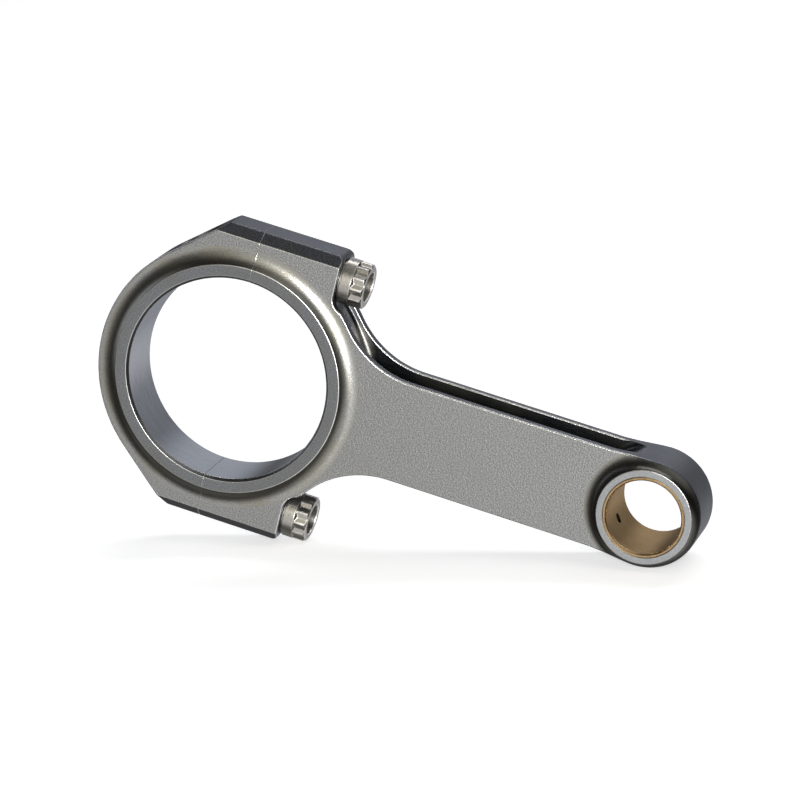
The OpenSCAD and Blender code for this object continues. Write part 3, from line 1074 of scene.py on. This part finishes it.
class Surface:
    """One material's node tree, with short ways to add what every metal here needs."""

    def __init__(self, name):
        self.material = bpy.data.materials.new(name)
        self.material.use_nodes = True
        self.tree = self.material.node_tree
        self.coords = self.node("TexCoord").outputs["Object"]

    def node(self, kind, *in_order, **by_name):
        return node(self.tree, kind, *in_order, **by_name)

    def shade(self, **values):
        """Sets or links inputs of the material's shader."""
        inputs = self.tree.nodes["Principled BSDF"].inputs
        for name, value in values.items():
            feed(self.tree, inputs[name.replace("_", " ")], value)

    def scaled(self, x, y, z):
        """Object coordinates multiplied by a scale for each axis."""
        return self.node("Mapping", self.coords, Scale=(x, y, z)).outputs["Vector"]

    def noise(self, per_mm, detail=3.0, rough=0.55, vector=None):
        """Noise with about this many features per millimetre, from 0 to 1."""
        return self.node(
            "TexNoise", vector or self.coords, Scale=per_mm / MM, Detail=detail, Roughness=rough
        ).outputs["Fac"]

    def grain(self):
        """The fine grain that shot peening leaves."""
        return self.noise(2.6, 2.0, 0.6)

    def dimples(self):
        """Heights of the dimples that shot peening leaves."""
        return self.node(
            "TexVoronoi", self.coords, feature="SMOOTH_F1", Scale=1.9 / MM, Smoothness=0.6
        ).outputs["Distance"]

    def math(self, operation, *values):
        return self.node("Math", *values, operation=operation).outputs[0]

    def ramp(self, value, low, high, to_low=0.0, to_high=1.0):
        """Maps low..high to to_low..to_high, and holds the ends."""
        return self.node("MapRange", value, low, high, to_low, to_high).outputs[0]

    def blend(self, factor, a, b):
        """Mixes two colours, each a tuple or a socket, by a factor."""
        made = self.node("Mix", factor, data_type="RGBA")
        for socket, colour in zip(made.inputs[6:8], (a, b)):
            feed(self.tree, socket, (*colour, 1.0) if isinstance(colour, tuple) else colour)
        return made.outputs[2]

    def mottled(self, texture, dark, light, spread=0.2):
        """From dark to light by a texture, over this much on each side of its middle."""
        return self.blend(self.ramp(texture, 0.5 - spread, 0.5 + spread), dark, light)

    def tinted(self, body, texture, low, high, most, colour):
        """Adds a colour where a texture is high, to most at its strongest."""
        return self.blend(self.ramp(texture, low, high, 0.0, most), body, colour)

    def part(self, vector, axis):
        """One axis of a vector, 0 to 2 for X to Z."""
        return self.node("SeparateXYZ", vector).outputs[axis]

    def radius(self, centre_x):
        """Distance in metres from a bore's axis."""
        x = self.math("SUBTRACT", self.part(self.coords, 0), centre_x * MM)
        z = self.part(self.coords, 2)
        squares = self.math("ADD", self.math("MULTIPLY", x, x), self.math("MULTIPLY", z, z))
        return self.math("SQRT", squares)

    def near_bore(self, centre_x, inner, outer, most=1.0):
        """most within one radius in millimetres round a bore's axis, falling to 0 at the other."""
        return self.ramp(self.radius(centre_x), inner * MM, outer * MM, most, 0.0)

    def turning_marks(self, per_mm):
        """Fine concentric marks about the nearer bore, with slow changes along them."""
        nearer = self.math("MINIMUM", self.radius(0.0), self.radius(SMALL_X))
        drift = self.math("MULTIPLY", self.noise(0.04, 1.0), 0.0006)
        return self.noise(per_mm, 2.0, 0.6, self.node("CombineXYZ", nearer, drift).outputs[0])

    def on_outline(self):
        """1 on the outline's side faces, 0 on the flat faces, by the normal's part along Y."""
        normal = self.node("TexCoord").outputs["Normal"]
        return self.ramp(self.math("ABSOLUTE", self.part(normal, 1)), 0.72, 0.9, 1.0, 0.0)

    def wear(self):
        """How far an edge is worn, from the mesh."""
        return self.node("Attribute", attribute_name="wear").outputs["Fac"]

    def patchy_wear(self, per_mm, detail, least):
        """Wear that is uneven along an edge, down to least times as much."""
        patches = self.ramp(self.noise(per_mm, detail), 0.3, 0.6, least, 1.0)
        return self.math("MULTIPLY", self.wear(), patches)

    def uneven(self, texture, low, high, slow, less, more):
        """A roughness between low and high by a fine texture, drifting with a slow one."""
        drift = self.ramp(slow, 0.3, 0.7, less, more)
        return self.math("ADD", self.ramp(texture, 0.3, 0.7, low, high), drift)

    def bumps(self, *layers):
        """Bump layers, each (height socket, depth in millimetres), chained into the shader."""
        below = {}
        for height, depth in layers:
            made = self.node("Bump", Strength=1.0, Distance=depth * MM, Height=height, **below)
            below = {"Normal": made.outputs["Normal"]}
        self.shade(**below)

    def finish(self, colour, roughness):
        """The finished metal, from the sockets of its colour and roughness."""
        self.shade(Base_Color=colour, Roughness=roughness, Metallic=1.0)
        return self.material


WORN_STEEL = (0.66, 0.66, 0.65)


def peened_steel():
    """Shot-peened faces, and painted shade that darkens the outline's side faces round them."""
    s = Surface("peened_steel")
    grain = s.grain()
    slow = s.noise(0.06, 3.0, 0.5)
    face = s.mottled(grain, (0.165, 0.165, 0.163), (0.42, 0.42, 0.415), 0.18)
    face = s.tinted(face, slow, 0.35, 0.7, 0.3, (0.24, 0.238, 0.233))
    face = s.tinted(face, s.noise(0.11, 5.0, 0.6), 0.5, 0.75, 0.12, (0.20, 0.188, 0.16))
    # Painted shade: a darker colour on the outline's side faces, picked by their normals, standing
    # in for the shade on the rod's tops and sides.
    outline_painted_shade = s.mottled(grain, (0.072, 0.075, 0.083), (0.148, 0.152, 0.166), 0.18)
    outline_painted_shade = s.tinted(outline_painted_shade, slow, 0.35, 0.7, 0.35, (0.083, 0.087, 0.105))
    body = s.blend(s.on_outline(), face, outline_painted_shade)
    edge = s.patchy_wear(0.25, 2.0, 0.7)
    rough = s.uneven(grain, 0.33, 0.42, slow, -0.05, 0.05)
    rough = s.math("SUBTRACT", rough, s.math("MULTIPLY", edge, 0.14))
    s.bumps((s.dimples(), 0.042), (grain, 0.004))
    return s.finish(s.blend(edge, body, WORN_STEEL), rough)


def turned_steel():
    """Turned, lightly peened fillets round the rings, with painted shade beside each ring."""
    s = Surface("turned_steel")
    marks = s.turning_marks(3.5)
    slow = s.noise(0.08, 3.0, 0.5)
    grain = s.grain()
    body = s.mottled(grain, (0.24, 0.238, 0.226), (0.43, 0.427, 0.41), 0.18)
    body = s.tinted(body, marks, 0.35, 0.65, 0.3, (0.24, 0.238, 0.225))
    body = s.tinted(body, slow, 0.4, 0.7, 0.5, (0.26, 0.242, 0.168))
    # Painted shade: a darker colour on the fillet in the corner beside each ring, round both bores.
    big_corner = s.near_bore(0.0, THRUST_R + 0.2, THRUST_R + 3.4, 0.6)
    body = s.blend(big_corner, body, (0.12, 0.115, 0.09))
    small_corner = s.near_bore(SMALL_X, SMALL_RING_R + 0.7, SMALL_RING_R + 4.9, 0.9)
    body = s.blend(small_corner, body, (0.06, 0.058, 0.05))
    s.bumps((marks, 0.001), (s.dimples(), 0.014), (grain, 0.002))
    colour = s.blend(s.patchy_wear(0.25, 2.0, 0.7), body, WORN_STEEL)
    return s.finish(colour, s.uneven(marks, 0.28, 0.33, slow, -0.02, 0.04))


def ground_steel():
    """Ground rings and joint faces, with painted light that makes the small end's ring brighter."""
    s = Surface("ground_steel")
    marks = s.turning_marks(7.0)
    grain = s.grain()
    slow = s.noise(0.15, 3.0, 0.5)
    body = s.mottled(grain, (0.115, 0.118, 0.122), (0.265, 0.27, 0.278), 0.18)
    body = s.tinted(body, marks, 0.3, 0.7, 0.3, (0.16, 0.163, 0.168))
    body = s.tinted(body, slow, 0.45, 0.75, 0.35, (0.15, 0.148, 0.13))
    # Painted light: a brighter copy of the colour on the small end's ring, standing in for the
    # light that falls on it.
    small = s.mottled(grain, (0.285, 0.289, 0.295), (0.405, 0.409, 0.415), 0.18)
    body = s.blend(s.near_bore(SMALL_X, SMALL_RING_R + 5.9, SMALL_RING_R + 7.9), body, small)
    s.bumps((marks, 0.002), (grain, 0.004))
    colour = s.blend(s.wear(), body, (0.50, 0.50, 0.49))
    return s.finish(colour, s.uneven(marks, 0.26, 0.36, slow, -0.02, 0.05))


def bored_steel():
    """Wall of a bore, honed smooth, with fine lines round it."""
    s = Surface("bored_steel")
    lines = s.noise(4.0, 2.0, 0.5, s.scaled(0.05, 1.0, 0.05))
    slow = s.noise(0.05, 2.0, 0.5)
    body = s.mottled(lines, (0.40, 0.408, 0.43), (0.52, 0.53, 0.555))
    body = s.tinted(body, slow, 0.4, 0.7, 0.3, (0.36, 0.37, 0.395))
    s.bumps((lines, 0.002))
    colour = s.blend(s.wear(), body, (0.6, 0.6, 0.6))
    return s.finish(colour, s.uneven(lines, 0.17, 0.24, slow, -0.02, 0.03))


def milled_steel():
    """Inside of the channels: painted shade, and a painted highlight lower down round the big end.
    """
    s = Surface("milled_steel")
    streaks = s.noise(2.2, 2.0, 0.5, s.scaled(0.08, 1.0, 1.0))
    fine = s.noise(2.4, 4.0, 0.6)
    slow = s.noise(0.09, 3.0, 0.5)
    # Painted shade: the inside of the channel is coloured dark, standing in for the shade in the
    # recess.
    dark = s.mottled(streaks, (0.07, 0.073, 0.082), (0.14, 0.146, 0.16))
    dark = s.tinted(dark, slow, 0.4, 0.7, 0.5, (0.10, 0.092, 0.06))
    # Painted highlight: a lighter colour on the lower part of the floor round the big end, standing
    # in for the bright band that it reflects.
    painted_highlight = s.mottled(streaks, (0.27, 0.265, 0.25), (0.40, 0.395, 0.37))
    round_big = s.near_bore(0.0, CHANNEL_BIG_R + 1.5, CHANNEL_BIG_R + 3.5)
    from_middle = s.math("ABSOLUTE", s.part(s.coords, 2))
    low_part = s.ramp(from_middle, 21.5 * MM, 24.5 * MM, 1.0, 0.0)
    painted_highlight_mask = s.math("MULTIPLY", round_big, low_part)
    rough = s.uneven(fine, 0.24, 0.34, slow, -0.03, 0.05)
    rough = s.math("ADD", rough, s.math("MULTIPLY", painted_highlight_mask, 0.12))
    s.bumps((streaks, 0.004), (fine, 0.002))
    return s.finish(s.blend(painted_highlight_mask, dark, painted_highlight), rough)


def hole_steel():
    """Drilled holes, with rings from the drill."""
    s = Surface("drilled_steel")
    rings = s.noise(3.0, 2.0, 0.6, s.scaled(1.0, 0.2, 0.2))
    s.bumps((rings, 0.003))
    colour = s.mottled(rings, (0.14, 0.137, 0.128), (0.26, 0.256, 0.245))
    return s.finish(colour, s.ramp(rings, 0.3, 0.7, 0.34, 0.5))


def bright_steel(name, dark, light):
    """Screws and sleeves, with marks turned round their own length."""
    s = Surface(name)
    marks = s.noise(3.6, 3.0, 0.6, s.scaled(1.0, 0.3, 0.3))
    slow = s.noise(0.25, 3.0, 0.5)
    dull = tuple(0.7 * part for part in dark)
    body = s.tinted(s.mottled(marks, dark, light), slow, 0.45, 0.75, 0.3, dull)
    s.bumps((marks, 0.003))
    colour = s.blend(s.patchy_wear(0.9, 3.0, 0.4), body, (0.78, 0.76, 0.72))
    return s.finish(colour, s.uneven(marks, 0.27, 0.36, slow, -0.03, 0.05))


def bronze(name, dark, light):
    """Honed bronze, with fine lines round the bore."""
    s = Surface(name)
    marks = s.noise(3.2, 3.0, 0.6, s.scaled(0.2, 1.0, 0.2))
    slow = s.noise(0.16, 4.0, 0.55)
    body = s.tinted(s.mottled(marks, dark, light), slow, 0.45, 0.75, 0.5, (0.26, 0.16, 0.08))
    s.bumps((marks, 0.002))
    s.shade(Specular_Tint=(0.92, 0.80, 0.62, 1.0))
    colour = s.blend(s.wear(), body, (0.74, 0.60, 0.34))
    return s.finish(colour, s.uneven(marks, 0.24, 0.38, slow, -0.03, 0.08))


# ---- Pieces ----

SIDES = ((1, "upper"), (-1, "lower"))

forged = [
    peened_steel(), turned_steel(), ground_steel(), bored_steel(), milled_steel(), hole_steel()
]

rod = new_object("rod_forging", build_rod())
cut(rod, rod_cutters())
finish_object(rod, forged, "rod", "rod_beam")

cap = new_object("cap_forging", build_cap())
cut(cap, cap_cutters())
finish_object(cap, forged, "cap", "rod_cap")

screw_materials = [
    bright_steel("screw_head_steel", (0.36, 0.345, 0.315), (0.47, 0.45, 0.415)),
    bright_steel("screw_thread_steel", (0.33, 0.315, 0.29), (0.45, 0.43, 0.40)),
]
for side, word in SIDES:
    screw = new_object("twelve_point_screw_" + word, build_screw(side))
    finish_object(screw, screw_materials, "screw_" + word, "cap_screw_" + word)

sleeve_material = bright_steel("sleeve_steel", (0.46, 0.455, 0.44), (0.60, 0.595, 0.58))
sleeve_profile = tube_profile(
    SLEEVE_INNER_R, SLEEVE_OUTER_R, SLEEVE_LENGTH / 2, inner_chamfer=0.25, outer_chamfer=0.2
)
for side, word in SIDES:
    sleeve = turned_object("sleeve_" + word, sleeve_profile, across_joint(side), SCREW_FACE, 72)
    finish_object(sleeve, [sleeve_material], "cap", "locating_sleeve_" + word)

bush_profile = tube_profile(
    BUSH_INNER_R, BUSH_OUTER_R, SMALL_Y, inner_chamfer=0.4, outer_chamfer=0.15
)
bush = turned_object("bronze_bush", bush_profile, along_bore(SMALL_X), BUSH_FACE, 144)
cut(bush, oil_hole_cutters("bush_oil_hole", BUSH_OUTER_R + PAST_BUSH, BUSH_HOLE))
# Painted shade: the oil hole's wall in the bush has a much darker bronze, standing in for the shade
# inside the hole.
bush_materials = [
    bronze("bush_bronze", (0.34, 0.22, 0.115), (0.46, 0.315, 0.175)),
    bronze("bush_hole_bronze", (0.07, 0.045, 0.025), (0.14, 0.09, 0.05)),
]
finish_object(bush, bush_materials, "rod", "pin_bush")

# ---- Floor ----

# The rod rests on its lower screw head, its lower shoulder and its small end, so the floor
# is tilted about Y in the rod's frame. Its offset from the origin is in millimetres.
FLOOR_TILT = math.radians(15.8)
FLOOR_OFFSET = -51.7
# The floor's flat part, the sweep round it and the wall above that
FLAT_RADIUS = 1900.0
SWEEP_RADIUS = 1600.0
WALL_TOP = 4000.0
FLOOR_COLUMNS = 96


def build_floor():
    """A flat round floor that sweeps up into a wall."""
    profile = [(FLAT_RADIUS * k / 3, 0.0) for k in (1, 2, 3)]
    for degrees in range(-84, 1, 6):
        profile.append(polar((FLAT_RADIUS, SWEEP_RADIUS), SWEEP_RADIUS, degrees))
    profile.append((FLAT_RADIUS + SWEEP_RADIUS, WALL_TOP))
    up = Vector((math.sin(FLOOR_TILT), 0, math.cos(FLOOR_TILT)))
    turn = up.to_track_quat("Z", "Y")

    def place(a, b, height):
        return turn @ Vector((a, b, height)) + up * FLOOR_OFFSET

    rows = [circle(place, radius, height, FLOOR_COLUMNS) for radius, height in profile]
    shell = Shell()
    shell.polygon(rows[0], 0)
    shell.strips(rows, 0, closed=True)
    mesh = shell.mesh("floor", closed=False)
    mesh.shade_smooth()
    return mesh


def floor_white():
    """Matt white that glows a little, so that it stays white away from the lamps."""
    s = Surface("floor_white")
    s.shade(Base_Color=(0.86, 0.86, 0.86, 1.0), Roughness=0.7)
    s.shade(Emission_Color=(1.0, 1.0, 1.0, 1.0), Emission_Strength=0.52)
    return s.material


floor = new_object("floor", build_floor())
floor.data.materials.append(floor_white())
# The metal mirrors the dark studio and its lights, and the white floor neither shows in it
# nor lights or shades it
floor.visible_glossy = False
floor.visible_diffuse = False
floor.visible_shadow = False

# ---- Studio light ----

world = bpy.data.worlds.new("studio")
world.use_nodes = True
world_tree = world.node_tree
world_direction = node(world_tree, "TexCoord").outputs["Generated"]

AMBIENT = (0.024, 0.022, 0.017)
NEUTRAL = (1.0, 1.0, 1.0)
COOL = (0.84, 0.89, 1.0)
WARM = (1.0, 0.95, 0.80)
# Soft patches of light round the rod: direction, angles in degrees from its middle at which
# the patch starts to fade and ends, strength and colour
PATCHES = (
    ((0.12, 0.92, -0.36), 12, 36, 0.92, NEUTRAL),
    ((-0.45, 0.72, -0.50), 12, 34, 0.85, NEUTRAL),
    ((0.10, 0.88, 0.45), 6, 27, 0.95, WARM),
    ((0.68, 0.64, -0.34), 6, 20, 0.12, NEUTRAL),
    ((0.20, -0.92, 0.33), 7, 27, 0.54, COOL),
    ((-0.22, -0.95, -0.15), 18, 45, 0.34, COOL),
    ((0.02, -1.0, -0.06), 5, 17, 0.90, NEUTRAL),
    ((-0.72, -0.52, -0.46), 14, 42, 0.75, NEUTRAL),
    ((0.20, -0.32, -0.92), 12, 45, 0.24, NEUTRAL),
    ((0.94, -0.32, 0.06), 12, 36, 1.30, COOL),
    ((-0.30, 0.10, 0.95), 10, 40, 0.80, NEUTRAL),
)


def soft_patch(direction, fades_at, ends_at, strength, colour):
    """A soft-edged round patch of light in the studio's surroundings."""
    facing = node(
        world_tree, "VectorMath", world_direction, Vector(direction).normalized(),
        operation="DOT_PRODUCT",
    )
    outer, inner = math.cos(math.radians(ends_at)), math.cos(math.radians(fades_at))
    edge = node(
        world_tree, "MapRange", facing.outputs["Value"], outer, inner, 0.0, strength,
        interpolation_type="SMOOTHSTEP",
    )
    tinted = node(world_tree, "VectorMath", colour, operation="SCALE", Scale=edge.outputs[0])
    return tinted.outputs[0]


total = AMBIENT
for patch in PATCHES:
    total = node(world_tree, "VectorMath", total, soft_patch(*patch), operation="ADD").outputs[0]
feed(world_tree, world_tree.nodes["Background"].inputs["Color"], total)
bpy.context.scene.world = world


ROD_MIDDLE = Vector((-45.0, 0.0, 0.0)) * MM


def softbox(name, direction, distance, width, height, watts, roll=0.0):
    """A rectangular lamp at a distance in metres along a direction, facing the rod's middle."""
    data = bpy.data.lights.new(name, "AREA")
    data.shape = "RECTANGLE"
    data.size = width
    data.size_y = height
    data.energy = watts
    lamp = new_object(name, data)
    away = Vector(direction).normalized()
    lamp.location = ROD_MIDDLE + away * distance
    turn = away.to_track_quat("Z", "Y") @ Quaternion((0, 0, 1), math.radians(roll))
    lamp.rotation_euler = turn.to_euler()


softbox("key", (-0.27, 0.92, 0.24), distance=1.4, width=0.40, height=0.75, watts=20.0, roll=42)
softbox("rim", (0.15, -0.5, 0.85), distance=1.8, width=1.6, height=0.3, watts=9.0)

# ---- Camera ----

# The camera's place in millimetres, and its turns in degrees about X, Y and Z in that order
CAMERA_PLACE = (-277.15, 1063.12, 378.93)
CAMERA_TURNS = (70.5867, -13.1899, -163.3418)

camera_data = bpy.data.cameras.new("camera")
camera_data.sensor_width = 36.0
camera_data.lens = 176.7
camera_data.clip_start = 0.05
camera = new_object("camera", camera_data)
camera.location = Vector(CAMERA_PLACE) * MM
camera.rotation_euler = [math.radians(turn) for turn in CAMERA_TURNS]
bpy.context.scene.camera = camera
bpy.context.scene.view_settings.view_transform = "Standard"
